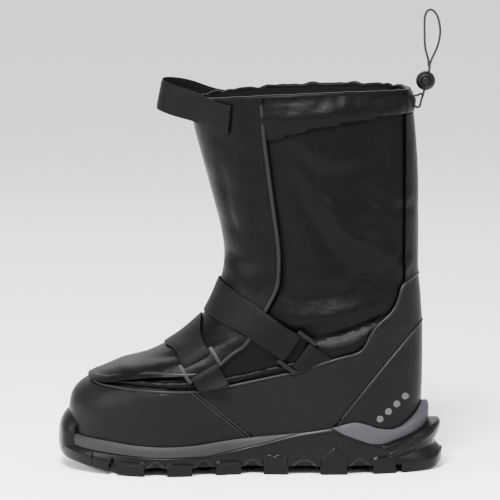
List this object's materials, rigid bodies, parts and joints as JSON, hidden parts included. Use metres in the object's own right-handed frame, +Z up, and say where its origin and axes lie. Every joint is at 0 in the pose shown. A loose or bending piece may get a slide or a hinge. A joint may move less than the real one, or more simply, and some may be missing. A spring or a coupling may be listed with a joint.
{
  "type": "winter overshoe",
  "caption": "Tall insulated overshoe with a rubber sole, a front flap under two buckled webbing straps, a pull loop and a collar drawcord.",
  "frame": {"origin": "on the floor under the middle of the sole", "axes": "+X to the toe, +Y to the outer side of this left overshoe, +Z up"},
  "size_m": [0.3265, 0.1243, 0.3892],
  "materials": {
    "rubber": "matt moulded rubber",
    "foam": "matt foam with fine pores",
    "coated": "rubber-coated cloth, dull sheen",
    "nylon": "woven nylon, soft satin sheen",
    "webbing": "narrow woven polyester webbing",
    "plastic": "satin moulded nylon",
    "cord": "braided elastic cord",
    "footbed": "brushed felt"
  },
  "bodies": {
    "root": {"outsole": "rubber", "midsole": "foam", "insole": "footbed", "upper": "nylon", "toe_rand": "coated", "quarter": "coated", "heel_counter": "coated", "back_stay": "nylon", "collar_tunnel": "nylon", "flap": "nylon", "instep_strap": "webbing", "vamp_strap": "webbing", "instep_anchor": "webbing", "vamp_anchor": "webbing", "pull_loop": "webbing", "instep_buckle": "plastic", "vamp_buckle": "plastic", "cord_lock": "plastic", "drawcord_strand_a": "cord", "drawcord_strand_b": "cord", "drawcord_loop": "cord"}
  },
  "joints": []
}
